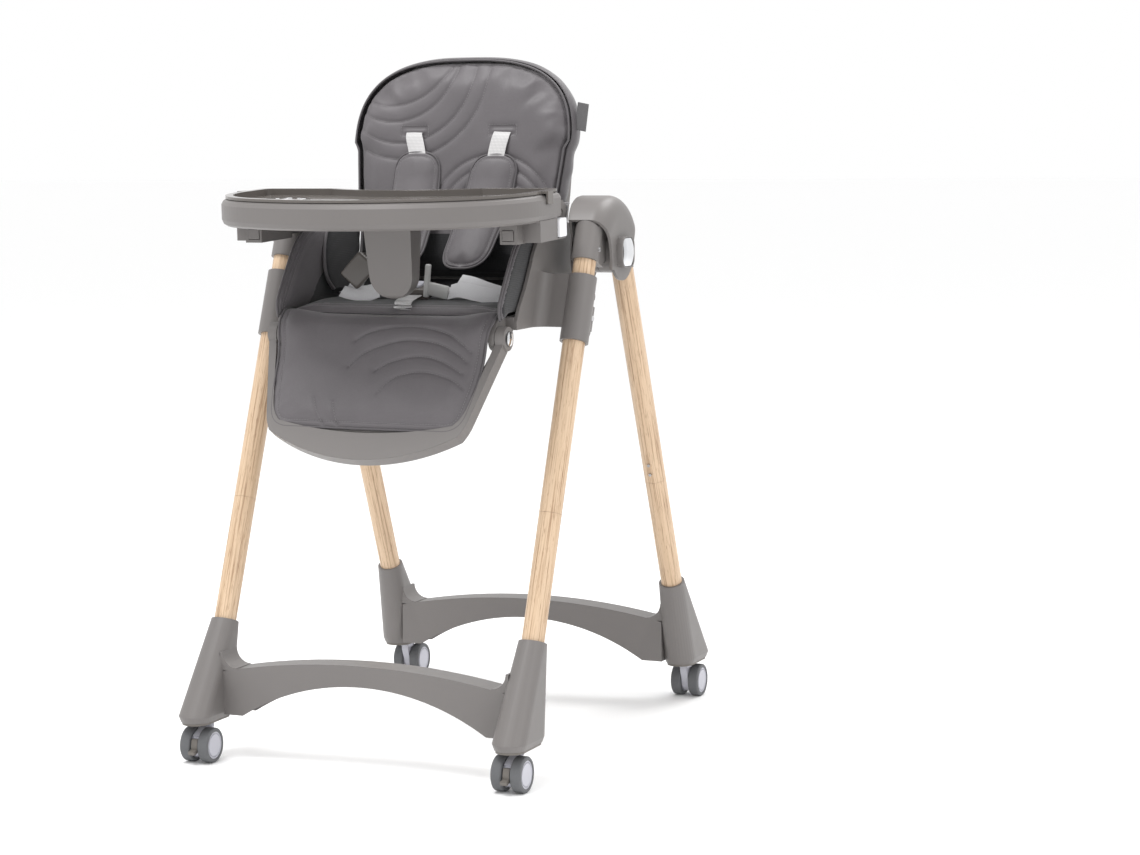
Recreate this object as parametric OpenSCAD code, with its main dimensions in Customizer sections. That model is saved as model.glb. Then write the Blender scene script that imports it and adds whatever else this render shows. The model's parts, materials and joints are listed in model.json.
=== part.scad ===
// Folding baby high chair. Millimetres, +Z up, the child faces -Y, floor at z = 0.
// The front frame and the rear frame meet at two hinge heads. The seat unit slides on the front legs.

/* [Frame] */
// Height of the folding pivots above the floor
hinge_z = 715; // [680:1:740]
// Lean of each leg from the vertical, degrees
leg_tilt = 21.2; // [19:0.1:23]
// Distance from a pivot to the axis of a leg
leg_offset = 59; // [57:0.5:62]
// Distance of a leg from the middle of the chair
leg_x = 243; // [240:0.5:250]
// Outside diameter of the leg tubes
tube_d = 32; // [30:0.5:33]
// Distance down the leg from the pivot to the top of the foot
foot_top = 584; // [575:1:590]
// Distance down the leg from the pivot to the joint between the tubes
tube_joint = 403; // [395:1:415]

/* [Hinge heads] */
// Radius of the domed cover
head_r = 81; // [78:0.5:84]
// Thickness of the head, side to side
head_w = 62; // [60:0.5:66]
// Width of the square release button
button_w = 38; // [34:0.5:40]

/* [Feet and casters] */
// Height of the underside of the feet
foot_z = 60; // [58:0.5:64]
// Distance of the caster stems in front of and behind the pivots
stem_y = 323.5; // [315:0.5:330]
// Caster wheel diameter
wheel_d = 50; // [46:1:50]
// Trail of the caster wheels behind their stems
trail = 17; // [14:0.5:18]

/* [Seat] */
// Outer half width of the side walls
wall_x = 188; // [186:0.5:190]
// Height of the recline pivot
recline_z = 650; // [645:1:655]
// Lean of the backrest, degrees
back_tilt = 12; // [8:0.5:15]
// Length of the backrest from its pivot to its top
back_l = 354; // [340:1:360]

/* [Footrest] */
// Height of the footrest pivot
rest_z = 604; // [600:1:608]
// Swing of the footrest in front of the vertical, degrees
rest_tilt = 31; // [27:0.5:34]
// Length of the footrest
rest_l = 196; // [190:1:200]

/* [Tray] */
// Half width of the tray
tray_x = 242; // [238:1:246]
// Height of the underside of the tray
tray_z = 761; // [760:0.5:764]
// Depth of the tray, front to back
tray_l = 262; // [256:1:268]
// Fall of the tray towards its front, degrees
tray_fall = 2; // [0:0.5:3]

/* [Hidden] */
y_mid = 12.5;
tube_r = tube_d / 2;
clear = 0.06;
head_in = leg_x - head_w / 2;
head_out = leg_x + head_w / 2;
wheel_r = wheel_d / 2;
arm_y = -67;
arm_z = 773;
tray_arm_z = 767;
rest_y = -208;
tray_back = -128;
plastic = [0.53, 0.51, 0.50];
dark_plastic = [0.43, 0.41, 0.39];
pale = [0.80, 0.80, 0.84];
wood = [0.86, 0.75, 0.60];
metal = [0.78, 0.79, 0.80];
padding = [0.43, 0.41, 0.42];
webbing = [0.78, 0.78, 0.77];
rubber = [0.36, 0.37, 0.38];
$fn = 64;

// ---------- placing helpers ----------

// The pivot-centred frame: y = 0 at the folding pivots.
module chair() {
    translate([0, y_mid, 0]) children();
}

// A front leg's frame: origin on the pivot, -Z down the leg, the leg axis at y = -leg_offset.
module front_leg() {
    chair() translate([0, 0, hinge_z]) rotate([-leg_tilt, 0, 0]) children();
}

module rear_leg() {
    chair() translate([0, 0, hinge_z]) rotate([leg_tilt, 0, 0]) mirror([0, 1, 0]) children();
}

module both_sides() {
    children();
    mirror([1, 0, 0]) children();
}

// A rod along X from x0 to x1.
module rod_x(x0, x1, r) {
    translate([x0, 0, 0]) rotate([0, 90, 0]) cylinder(h = x1 - x0, r = r);
}

// Extrudes a profile drawn as [y, z] along X from x0 to x1.
module slab_x(x0, x1) {
    translate([x0, 0, 0]) rotate([90, 0, 90]) linear_extrude(x1 - x0) children();
}

// Extrudes a profile drawn as [x, z] along Y from y0 to y1.
module slab_y(y0, y1) {
    translate([0, y1, 0]) rotate([90, 0, 0]) linear_extrude(y1 - y0) children();
}

module rounded_square(w, h, r) {
    union() {
        square([w - 2 * r, h], center = true);
        square([w, h - 2 * r], center = true);
        for (sx = [-1, 1], sy = [-1, 1])
            translate([sx * (w / 2 - r), sy * (h / 2 - r)]) circle(r);
    }
}

// ---------- feet, beams and tubes ----------

foot_hw = 25;
foot_front = -375;
foot_back = -272;

module foot_outline(grow = 0) {
    r = foot_hw + grow;
    translate([leg_x + 2, 0]) union() {
        translate([0, foot_front + foot_hw]) circle(r, $fn = 32);
        translate([0, foot_back - foot_hw]) circle(r, $fn = 32);
        translate([-r, foot_front + foot_hw]) square([2 * r, foot_back - foot_front - 2 * foot_hw]);
    }
}

// One boot-shaped foot, drawn for the front right leg.
module foot_body() {
    hull() {
        translate([0, 0, foot_z + 8]) linear_extrude(1) foot_outline();
        translate([0, 0, foot_z]) linear_extrude(1) foot_outline(-3);
        translate([0, 0, hinge_z]) rotate([-leg_tilt, 0, 0])
            translate([leg_x, -leg_offset, -foot_top - 1]) cylinder(h = 1, r = tube_r + 4, $fn = 32);
    }
}

beam_low = 119;
beam_top = 149;
low_r = 360;
top_r = 1118;

// The arched beam seen from the front.
module beam_profile(wall = 0, reach = 224) {
    difference() {
        intersection() {
            translate([-reach, foot_z + 4]) square([2 * reach, 110]);
            translate([0, beam_top - top_r]) circle(top_r - wall, $fn = 256);
        }
        translate([0, beam_low - low_r]) circle(low_r, $fn = 128);
    }
}

// The hollow cells under the beam, parted by ribs.
module beam_cells() {
    difference() {
        beam_profile(5, 206);
        for (i = [-3 : 3])
            translate([i * 52 - 1.25, 0]) square([2.5, 200]);
    }
}

module base() {
    chair() difference() {
        union() {
            both_sides() foot_body();
            slab_y(-312, -270) beam_profile();
            both_sides() slab_y(-312, -270) difference() {
                translate([200, 128]) square([26, 26]);
                translate([200, 154]) circle(22);
            }
        }
        translate([0, 0, -1]) slab_y(-308, -274) beam_cells();
        both_sides() {
            translate([0, 0, hinge_z]) rotate([-leg_tilt, 0, 0])
                translate([leg_x, -leg_offset, -foot_top - 42]) cylinder(h = 60, r = tube_r + 0.1);
            translate([0, 0, foot_z - 1]) linear_extrude(8) foot_outline(-7);
            translate([leg_x, -stem_y, foot_z]) cylinder(h = 34, r = 4 + clear);
        }
    }
}

// Plugs that close the feet underneath.
module foot_caps() {
    chair() both_sides() difference() {
        union() {
            translate([0, 0, foot_z - 0.5]) linear_extrude(7.3) foot_outline(-7.2);
            translate([0, 0, foot_z - 3.5]) linear_extrude(3.4) foot_outline(-4.5);
        }
        translate([leg_x, -stem_y, foot_z - 5]) cylinder(h = 20, r = 4.5);
    }
}

module tubes_lower() {
    both_sides() translate([leg_x, -leg_offset, 0]) {
        difference() {
            translate([0, 0, -foot_top - 40]) cylinder(h = foot_top + 40 - tube_joint - 0.3, r = tube_r);
            translate([0, 0, -foot_top - 41]) cylinder(h = foot_top + 60 - tube_joint, r = tube_r - 3);
        }
        difference() {
            translate([0, 0, -tube_joint - 20]) cylinder(h = 60, r = tube_r - 1.6);
            translate([0, 0, -tube_joint - 21]) cylinder(h = 62, r = tube_r - 3);
        }
    }
}

module tubes_upper() {
    both_sides() translate([leg_x, -leg_offset, 0]) difference() {
        translate([0, 0, -tube_joint]) cylinder(h = tube_joint - 4, r = tube_r);
        translate([0, 0, -tube_joint - 1]) cylinder(h = tube_joint + 2, r = tube_r - 1.5);
    }
}

// ---------- hinge heads ----------

sock_r = tube_r + 3.7;
sock_low = 33.5;
hub_r = 30;
cut_y = 125;
cut_z = -12;
cut_r = 85;

// Where a sleeve may stand, drawn as [y, z] in the leg frame: inside the dome, or in its cut-out
// both with the chair open and with it folded.
module sleeve_reach() {
    union() {
        circle(head_r - 12);
        intersection() {
            rotate(leg_tilt) translate([-cut_y, cut_z]) circle(cut_r - 0.8);
            translate([-cut_y, cut_z]) circle(cut_r - 0.8);
        }
    }
}

// The web from a leg sleeve to the pivot, drawn as [y, z] in the leg frame.
module socket_web() {
    difference() {
        intersection() {
            sleeve_reach();
            translate([-leg_offset - sock_r, -sock_low]) square([leg_offset + sock_r - 5, 86]);
        }
        circle(hub_r + 1.5);
        rotate(leg_tilt) translate([-1, 0]) square([100, 120]);
        translate([-5, -sock_low - 12]) rotate(38) square([26, 60], center = true);
    }
}

// A socket, with its pivot tongue between x0 and x1.
module socket(x0, x1) {
    difference() {
        union() {
            intersection() {
                slab_x(leg_x - sock_r, leg_x + sock_r) socket_web();
                union() {
                    translate([leg_x, -leg_offset, -sock_low]) cylinder(h = 90, r = sock_r);
                    translate([leg_x - 17, -leg_offset, -sock_low]) cube([34, leg_offset, 90]);
                }
            }
            slab_x(x0, x1) union() {
                circle(hub_r);
                translate([-48, -16]) square([48, 32]);
            }
        }
        translate([leg_x, -leg_offset, -sock_low - 1]) cylinder(h = sock_low - 3, r = tube_r + 0.1);
        rod_x(x0 - 1, x1 + 1, 7 + clear);
    }
}

// The outline of the domed cover, drawn as [y, z] about the pivot.
module cover_outline() {
    union() {
        difference() {
            circle(head_r);
            for (s = [-1, 1]) translate([s * cut_y, cut_z]) circle(cut_r);
            translate([-100, -100]) square([200, 76]);
        }
        circle(41);
    }
}

// The inner side of the cover bulges towards the seat: a wide upright cylinder, less a wall.
module cover_bulge(wall) {
    bulge_r = 270;
    translate([head_in - 3 + bulge_r, 0, -100]) cylinder(h = 200, r = bulge_r - wall, $fn = 256);
}

// Turned shell of the cover: rim and rounded outer face, about the X axis.
module cover_dome() {
    t = 4;
    difference() {
        intersection() {
            cover_bulge(0);
            rotate([0, 90, 0]) rotate_extrude($fn = 96) union() {
                translate([0, head_in]) square([head_r, head_w - 24]);
                translate([0, head_out - 24]) square([head_r - 30, 24]);
                intersection() {
                    translate([head_r - 30, head_out - 24]) scale([30 / 24, 1]) circle(24);
                    translate([0, head_out - 24]) square([head_r, 24]);
                }
            }
        }
        intersection() {
            cover_bulge(t);
            rotate([0, 90, 0]) rotate_extrude($fn = 96) union() {
                translate([0, head_in - 1]) square([head_r - t, head_w - 23]);
                translate([0, head_out - 26]) square([head_r - 30 - t, 26 - t]);
                intersection() {
                    translate([head_r - 30 - t, head_out - 24]) scale([30 / 20, 1]) circle(20);
                    translate([0, head_out - 24]) square([head_r - t, 20]);
                }
            }
        }
    }
}

module hinge_cover() {
    chair() translate([0, 0, hinge_z]) difference() {
        union() {
            intersection() {
                cover_dome();
                slab_x(head_in, head_out + 1) cover_outline();
            }
            intersection() {
                cover_bulge(0);
                slab_x(head_in - 3, head_in + 4) union() {
                    difference() {
                        circle(head_r - 1);
                        translate([-100, -124]) square([200, 100]);
                        for (s = [-1, 1]) translate([s * cut_y, cut_z]) circle(cut_r);
                    }
                    circle(52);
                }
            }
            slab_x(head_out - 4, head_out + 9) rounded_square(button_w + 9, button_w + 7, 14);
        }
        slab_x(head_out - 2, head_out + 10) rounded_square(button_w + 1.4, button_w + 3.4, 11);
        rod_x(head_in - 4, head_in + 6, 7 + clear);
        rod_x(head_out - 9, head_out - 1, 7 + clear);
    }
}

// Square button with a gently crowned face.
module fold_button() {
    chair() translate([0, 0, hinge_z]) intersection() {
        slab_x(head_out + 3, head_out + 14) rounded_square(button_w, button_w + 2, 10.5);
        translate([head_out + 12 - 75, 0, 0]) sphere(75, $fn = 96);
    }
}

module pivot_pin() {
    rod_x(head_in - 2, head_out - 2.5, 7);
    rod_x(head_in - 6, head_in - 3.3, 10);
}

// A small cross-head screw whose axis is X, head face at x.
module screw_x(x, depth) {
    difference() {
        union() {
            rod_x(x - 1.6, x, 3.6);
            rod_x(x - depth, x - 1.6, 1.7);
        }
        translate([x - 0.9, -2, -0.4]) cube([2, 4, 0.8]);
        translate([x - 0.9, -0.4, -2]) cube([2, 0.8, 4]);
    }
}

// Screws and studs of one frame, drawn in the front leg's frame.
module fixings() {
    both_sides() translate([0, -leg_offset, 0]) {
        translate([0, 0, -16]) screw_x(leg_x + sock_r + 1, 14);
        for (u = [372, 388])
            translate([leg_x, tube_r - 0.2, -u]) rotate([-90, 0, 0]) cylinder(h = 2.8, r = 2.3);
        translate([leg_x, 17, -foot_top - 22]) rotate([-90, 0, 0]) cylinder(h = 6, r = 3);
    }
}

// ---------- casters, drawn about the stem axis, wheels trailing towards -Y ----------

module caster_body() {
    difference() {
        union() {
            slab_x(-5.5, 5.5) union() {
                translate([-trail, wheel_r]) circle(18.5);
                polygon([[-trail - 15, 40], [-12, 50], [9, 50], [9, 44], [-trail + 16, 16]]);
            }
            translate([0, 0, 48]) cylinder(h = 6, r = 10);
            translate([0, 0, 53]) cylinder(h = foot_z - 20, r = 4);
        }
        translate([0, -trail, wheel_r]) rod_x(-6, 6, 3 + clear);
    }
}

module caster_tyres() {
    both_sides() translate([6.3, -trail, wheel_r]) rotate([0, 90, 0]) rotate_extrude($fn = 96)
        difference() {
            translate([wheel_r - 5.5, 0]) square([5.5, 16]);
            for (z = [0, 16])
                translate([wheel_r - 2.5, abs(z - 2.5)]) difference() {
                    translate([0, z == 0 ? -3 : 0]) square([3, 3]);
                    circle(2.5);
                }
        }
}

module caster_hubs() {
    translate([0, -trail, wheel_r]) {
        rod_x(-12, 12, 3);
        both_sides() difference() {
            rod_x(6.6, 21.4, wheel_r - 5.6);
            rod_x(20.4, 22, wheel_r - 8);
        }
        both_sides() rod_x(20.4, 21.6, wheel_r - 9);
    }
}

// Foot brake: a band round the wheel housing with a paddle.
module caster_pedal() {
    translate([0, -trail, wheel_r]) slab_x(-5, 5) difference() {
        union() {
            difference() {
                circle(21.5);
                circle(19);
                translate([-14, -30]) square([60, 60]);
                translate([-30, -30]) square([60, 22]);
                translate([-30, 11]) square([60, 20]);
            }
            rotate(12) translate([-31, -4]) square([11, 5]);
        }
        circle(19);
    }
}

// Places a caster: sx = -1 for the child's right, sy = -1 for the front.
module at_caster(sx, sy) {
    chair() translate([sx * leg_x, sy * stem_y, 0]) mirror([0, sy > 0 ? 1 : 0, 0]) children();
}

// ---------- seat carriers ----------

// Side wall drawn as [y, z].
module wall_outline() {
    union() {
        intersection() {
            translate([-33, 655]) circle(108, $fn = 128);
            translate([-126, 614.5]) square([174, 160]);
        }
        polygon([[-184, 614.5], [-184, 626], [-174, 643], [-150, 672], [-126, 708], [-100, 640], [0, 614.5]]);
        translate([arm_y, arm_z]) circle(20);
        translate([arm_y - 17, 735]) square([34, 36]);
    }
}

module carrier() {
    sleeve_top = 57;
    sleeve_h = 97;
    chair() difference() {
        union() {
            slab_x(wall_x - 5, wall_x) wall_outline();
            translate([0, arm_y, arm_z]) rod_x(wall_x - 1, wall_x + 18, 6);
            translate([0, 0, hinge_z]) rotate([-leg_tilt, 0, 0])
                translate([leg_x, -leg_offset, -sleeve_top - sleeve_h]) cylinder(h = sleeve_h, r = 20.5);
            intersection() {
                translate([0, 0, hinge_z]) rotate([-leg_tilt, 0, 0])
                    translate([0, 0, -sleeve_top - sleeve_h]) linear_extrude(sleeve_h) union() {
                        translate([wall_x - 2, -leg_offset - 14]) square([leg_x - wall_x, 30]);
                        difference() {
                            translate([wall_x - 2, -leg_offset - 32]) square([20, 20]);
                            translate([wall_x + 18, -leg_offset - 32]) circle(18);
                        }
                    }
                translate([0, -300, 614.5]) cube([400, 400, 300]);
            }
            translate([0, 0, hinge_z]) rotate([-leg_tilt, 0, 0]) for (x = [leg_x - 10, leg_x + 7])
                translate([x, -leg_offset + 14, -128]) cube([3, 20, 36]);
        }
        translate([0, 0, hinge_z]) rotate([-leg_tilt, 0, 0])
            translate([leg_x, -leg_offset, -sleeve_top - sleeve_h - 1])
                cylinder(h = sleeve_h + 2, r = tube_r + 0.35);
    }
}

// Wavy release lever behind the sleeve, drawn as [y, z] in the leg frame.
module lever_profile() {
    difference() {
        union() {
            polygon([[-37.5, -142], [-37.5, -112], [-32.5, -62], [-26.5, -62], [-26.5, -142]]);
            translate([-27, -128]) circle(7);
            translate([-27, -102]) circle(8);
            translate([-27, -76]) circle(7);
        }
        for (z = [-115, -89]) translate([-20, z]) circle(7);
    }
}

lever_y = -31;
lever_z = -110;

module height_lever() {
    front_leg() difference() {
        slab_x(leg_x - 6.5, leg_x + 6.5) lever_profile();
        translate([0, lever_y, lever_z]) rod_x(leg_x - 8, leg_x + 8, 2.5 + clear);
    }
}

module carrier_screws() {
    both_sides() translate([0, lever_y, lever_z]) {
        rod_x(leg_x - 11, leg_x + 11, 2.5);
        rod_x(leg_x + 10.2, leg_x + 12, 4);
    }
}

// ---------- seat ----------

module seat_shell() {
    color(plastic) chair() difference() {
        union() {
            difference() {
                union() {
                    translate([-170, -204, 616]) cube([340, 248, 16]);
                    translate([-183, -184, 616]) cube([366, 228, 16]);
                }
                translate([-165, -199, 615]) cube([330, 238, 13]);
                translate([-178, -179, 615]) cube([356, 218, 13]);
            }
            for (y = [-150, -95, -40, 10]) translate([-179, y, 617]) cube([358, 3, 12]);
            both_sides() {
                slab_x(162, 171) union() {
                    translate([rest_y, rest_z]) circle(17);
                    polygon([[rest_y - 12, rest_z + 11], [rest_y - 2, 631], [-150, 631], [-150, 616], [rest_y + 12, rest_z - 11]]);
                }
                translate([0, rest_y, rest_z]) rod_x(165, 181, 6);
                slab_x(167, 175) union() {
                    translate([10, recline_z]) circle(13);
                    translate([-3, 625]) square([26, 25]);
                }
                translate([0, 10, recline_z]) rod_x(155, 170, 6);
            }
        }
        for (x = [-60, -20, 20, 60]) translate([x - 8, -140, 620]) cube([16, 90, 20]);
    }
}

module seat_cushion() {
    color(padding) chair() slab_x(-164, 164) union() {
        polygon([[-205, 633], [-205, 641.5], [-130, 647], [-12, 647], [-12, 633]]);
        translate([-205, 637.3]) circle(4.2);
    }
}

module side_wings() {
    color(padding) chair() both_sides() slab_x(168, 180.5) polygon([
        [-206, 638], [-205, 655], [-188, 685], [-168, 722], [-148, 743],
        [-122, 757], [-90, 766], [-12, 768], [-12, 638]
    ]);
}

module harness_buckle() {
    chair() difference() {
        translate([0, -112, 650]) linear_extrude(15) rounded_square(44, 54, 10);
        translate([0, -112, 662]) cylinder(h = 5, r = 10);
    }
}

module lap_belts() {
    color(webbing) chair() {
        both_sides() translate([24, -125, 651]) cube([134, 26, 2.5]);
        translate([-13, -166, 651]) cube([26, 25, 2.5]);
    }
}

// ---------- backrest, drawn in its own frame: origin on the pivot, +Z up the back ----------

module backrest() {
    chair() translate([0, 10, recline_z]) rotate([-back_tilt, 0, 0]) children();
}

// Outline of the back drawn as [x, z], with the given half width and height.
module back_outline(hw, top) {
    r = 92;
    intersection() {
        union() {
            translate([-hw, 150]) square([2 * hw, top - 150 - r]);
            translate([-hw + r, 150]) square([2 * (hw - r), top - 150]);
            for (s = [-1, 1]) translate([s * (hw - r), top - r]) circle(r, $fn = 96);
            polygon([[4 - hw, 16], [hw - 4, 16], [hw, 160], [-hw, 160]]);
        }
        translate([0, top - 620]) circle(620, $fn = 256);
    }
}

module back_shell() {
    color(plastic) backrest() difference() {
        union() {
            slab_y(5, 18) back_outline(168, 338);
            both_sides() slab_x(156, 165) union() {
                circle(12);
                translate([-2, 0]) square([14, 24]);
            }
            both_sides() slab_x(53, 58) translate([26, 268]) circle(7);
            both_sides() slab_x(53, 58) translate([15, 261]) square([11, 14]);
        }
        slab_y(9, 19) translate([0, 7]) difference() {
            intersection() {
                back_outline(160, 322);
                translate([-200, 20]) square([400, 400]);
            }
            for (x = [-90, 0, 90]) translate([x - 3, 0]) square([6, 400]);
            for (z = [110, 200]) translate([-200, z - 3]) square([400, 6]);
            translate([-66, 240]) square([132, 40]);
        }
        both_sides() rod_x(150, 170, 6 + clear);
        both_sides() translate([58, 0, 236]) cube([28, 60, 5]);
        translate([0, 26, 268]) rod_x(-60, 60, 3 + clear);
    }
}

module back_cushion() {
    color(padding) backrest() slab_y(-26, 4) intersection() {
        back_outline(180, back_l);
        translate([-200, 14]) square([400, 400]);
        union() {
            translate([-154, 0]) square([308, 30]);
            translate([-164, 28]) square([328, 102]);
            translate([-200, 126]) square([400, 300]);
        }
    }
}

module recline_lever() {
    backrest() {
        translate([0, 26, 268]) rod_x(-59, 59, 3);
        slab_x(-51, 51) union() {
            translate([26, 268]) circle(6);
            polygon([[21, 266], [31, 266], [38, 232], [33, 228]]);
        }
    }
}

module shoulder_straps() {
    color(webbing) backrest() both_sides() translate([58, -30, 218]) cube([28, 2.5, 20]);
}

module shoulder_pads() {
    color(padding) backrest() both_sides() slab_y(-42, -31) translate([54, 118]) rotate(-6) rounded_square(72, 178, 34);
}

// ---------- footrest, drawn in its own frame: origin on the pivot, -Z down the footrest ----------

module footrest() {
    chair() translate([0, rest_y, rest_z]) rotate([-rest_tilt, 0, 0]) children();
}

// A U seen from the front: hw wide at the pivots, low deep, with corners of radius r at bottom_hw.
module u_outline(hw, low, r, bottom_hw, bow = 600) {
    intersection() {
        hull() {
            for (s = [-1, 1]) {
                translate([s * (bottom_hw - r), -low + r]) circle(r, $fn = 64);
                translate([s * hw - (s > 0 ? 1 : 0), -6]) square([1, 6]);
            }
        }
        translate([0, bow - low]) circle(bow, $fn = 256);
    }
}

// The rim stands round a ledge that the flap lies on.
module footrest_frame() {
    color(plastic) footrest() difference() {
        union() {
            slab_y(-10, 10) difference() {
                u_outline(186, rest_l, 85, 160, 290);
                u_outline(172, rest_l - 56, 46, 142);
            }
            both_sides() rod_x(172, 186, 17);
        }
        slab_y(-12, -3) translate([0, 1]) u_outline(174, rest_l - 40, 56, 153);
        both_sides() rod_x(170, 182.5, 6 + clear);
        both_sides() rod_x(183.5, 187, 10.4);
        slab_y(-11, 11) translate([-171.9, -20]) square([343.8, 60]);
    }
}

module footrest_button() {
    footrest() intersection() {
        rod_x(184.5, 192, 10);
        translate([190 - 40, 0, 0]) sphere(40, $fn = 96);
    }
}

module stay() {
    footrest() {
        both_sides() translate([136, 12.5, -150]) cylinder(h = 120, r = 2.5);
        translate([0, 12.5, -152]) rod_x(-136, 136, 2.5);
    }
}

module flap() {
    footrest() slab_y(-14, -3.4) difference() {
        u_outline(166, rest_l - 44, 54, 149);
        translate([-200, -20]) square([400, 30]);
    }
}

// ---------- tray ----------

// The tray's own frame, level in itself, turned about the arm pivots.
module tray_frame() {
    chair() translate([0, arm_y, arm_z]) rotate([tray_fall, 0, 0])
        translate([0, -arm_y, -tray_arm_z]) children();
}

// Plan of the tray: a wide front arc run into two side arcs, square-ended behind.
module tray_outline(inset = 0) {
    front_r = 340;
    front_y = tray_back - tray_l + front_r;
    rise = front_y + 208;
    side_r = (front_r * front_r - tray_x * tray_x - rise * rise) / (2 * (front_r - tray_x));
    side_x = tray_x - side_r;
    w = tray_x - inset;
    union() {
        intersection() {
            translate([0, front_y]) circle(front_r - inset, $fn = 192);
            polygon([[0, front_y], [-2 * side_x, front_y - 2 * rise - 1], [-3 * side_x, front_y - 3 * rise],
                [3 * side_x, front_y - 3 * rise], [2 * side_x, front_y - 2 * rise - 1]]);
        }
        for (s = [-1, 1]) intersection() {
            translate([s * side_x, -208]) circle(side_r - inset, $fn = 128);
            translate([-300, -508]) square([600, 300.1]);
        }
        translate([-w, -208]) square([2 * w, 208 + tray_back - 24]);
        translate([-tray_x + 24, -208]) square([2 * tray_x - 48, 208 + tray_back - inset]);
        for (s = [-1, 1])
            translate([s * (tray_x - 24), tray_back - 24]) circle(24 - inset, $fn = 48);
    }
}

module tray_cutout(grow = 0) {
    translate([0, 22]) circle(190 + grow, $fn = 128);
}

module tray_arm() {
    tray_frame() {
        difference() {
            union() {
                slab_x(191, 207.5) polygon([
                    [arm_y + 6, tray_arm_z - 16], [arm_y - 18, 741], [-237, 741], [-237, 755],
                    [arm_y - 28, 756], [arm_y - 16, tray_arm_z + 6]
                ]);
                translate([0, arm_y, tray_arm_z]) rod_x(190, 207.5, 17);
                translate([0, arm_y, tray_arm_z]) for (a = [0 : 20 : 340])
                    rotate([a, 0, 0]) translate([190, -1.5, 15]) cube([17.5, 3, 4]);
            }
            translate([0, arm_y, tray_arm_z]) rod_x(189, 208, 6 + clear);
        }
    }
}

module tray_runner() {
    difference() {
        union() {
            translate([187, -236, tray_z - 25]) cube([26, 91, 31]);
            translate([213, -215, tray_z - 24]) cube([26, 87, 30]);
        }
        translate([190.4, -237, 740.3]) cube([17.7, 93, 15.4]);
        translate([227, -155.6, 739]) cube([15, 26.2, 60]);
    }
}

module tray_base() {
    color(plastic) tray_frame() difference() {
        union() {
            difference() {
                hull() {
                    translate([0, 0, tray_z + 4]) linear_extrude(1) tray_outline(7);
                    translate([0, 0, tray_z + 7]) linear_extrude(1) tray_outline(2.5);
                    translate([0, 0, tray_z + 13]) linear_extrude(21) tray_outline(0);
                    translate([0, 0, tray_z + 38]) linear_extrude(1) tray_outline(3);
                    translate([0, 0, tray_z + 41]) linear_extrude(1) tray_outline(8);
                }
                translate([0, 0, tray_z - 1]) linear_extrude(60) tray_cutout();
                translate([0, 0, tray_z + 29]) linear_extrude(30) difference() {
                    tray_outline(13);
                    tray_cutout(12);
                }
                translate([0, 0, tray_z - 1]) linear_extrude(26) difference() {
                    tray_outline(11);
                    tray_cutout(4);
                    for (s = [-1, 1]) translate([s * 214 - 30, -240]) square([60, 120]);
                }
            }
            both_sides() tray_runner();
        }
        both_sides() translate([227, -155.6, 739]) cube([28, 26.2, 30]);
        both_sides() slab_x(234, 256) translate([-142.5, 784]) rounded_square(12, 24, 5.9);
    }
}

module tray_latch() {
    tray_frame() slab_x(231, 242) translate([-142.5, 753]) rounded_square(25, 26, 3);
}

module tray_insert() {
    color(dark_plastic) tray_frame() difference() {
        union() {
            translate([0, 0, tray_z + 34]) linear_extrude(2.5) insert_outline(13.6);
            translate([0, 0, tray_z + 29.3]) linear_extrude(17) difference() {
                insert_outline(13.6);
                insert_outline(17);
            }
            translate([0, 0, tray_z + 42.3]) linear_extrude(4) difference() {
                insert_outline(6);
                insert_outline(17);
            }
            both_sides() translate([tray_x - 8, -200, tray_z + 42.3]) cube([11, 18, 4]);
            both_sides() translate([tray_x + 0.6, -200, tray_z + 28]) cube([2.6, 18, 17]);
            translate([-150, -240, tray_z + 35]) difference() {
                cylinder(h = 3, r = 41);
                translate([0, 0, 1.5]) cylinder(h = 3, r = 39.5);
            }
        }
    }
}

module insert_outline(inset) {
    difference() {
        tray_outline(inset);
        tray_cutout(inset - 1);
    }
}

module crotch_post_body() {
    top = tray_z + 24.7;
    tray_frame() intersection() {
        slab_y(-216, -170) union() {
            translate([0, 688]) circle(34);
            polygon([[-34, 688], [34, 688], [38.5, top], [-38.5, top]]);
        }
        slab_x(-45, 45) union() {
            polygon([[-199, 663], [-179, 663], [-173, top], [-213, top]]);
            translate([-189, 663]) circle(10);
        }
    }
}

// ---------- nodes ----------

module front_base() { color(plastic) base(); }
module front_foot_caps() { color(dark_plastic) foot_caps(); }
module front_tubes_lower() { color(wood) front_leg() tubes_lower(); }
module front_tubes_upper() { color(wood) front_leg() tubes_upper(); }
module front_sockets() { color(plastic) front_leg() both_sides() socket(leg_x - 22, leg_x - 0.5); }
module pivot_pins() { color(metal) chair() translate([0, 0, hinge_z]) both_sides() pivot_pin(); }
module front_fixings() { color(metal) front_leg() fixings(); }
module rear_base() { color(plastic) translate([0, 2 * y_mid, 0]) mirror([0, 1, 0]) base(); }
module rear_foot_caps() { color(dark_plastic) translate([0, 2 * y_mid, 0]) mirror([0, 1, 0]) foot_caps(); }
module rear_tubes_lower() { color(wood) rear_leg() tubes_lower(); }
module rear_tubes_upper() { color(wood) rear_leg() tubes_upper(); }
module rear_sockets() { color(plastic) rear_leg() both_sides() socket(leg_x + 0.5, leg_x + 22); }
module rear_fixings() { color(metal) rear_leg() fixings(); }
module hinge_cover_left() { color(plastic) hinge_cover(); }
module hinge_cover_right() { color(plastic) mirror([1, 0, 0]) hinge_cover(); }
module fold_button_left() { color(metal) fold_button(); }
module fold_button_right() { color(metal) mirror([1, 0, 0]) fold_button(); }
module caster_body_fl() { color(pale) at_caster(1, -1) caster_body(); }
module caster_tyres_fl() { color(rubber) at_caster(1, -1) caster_tyres(); }
module caster_hubs_fl() { color(pale) at_caster(1, -1) caster_hubs(); }
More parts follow.
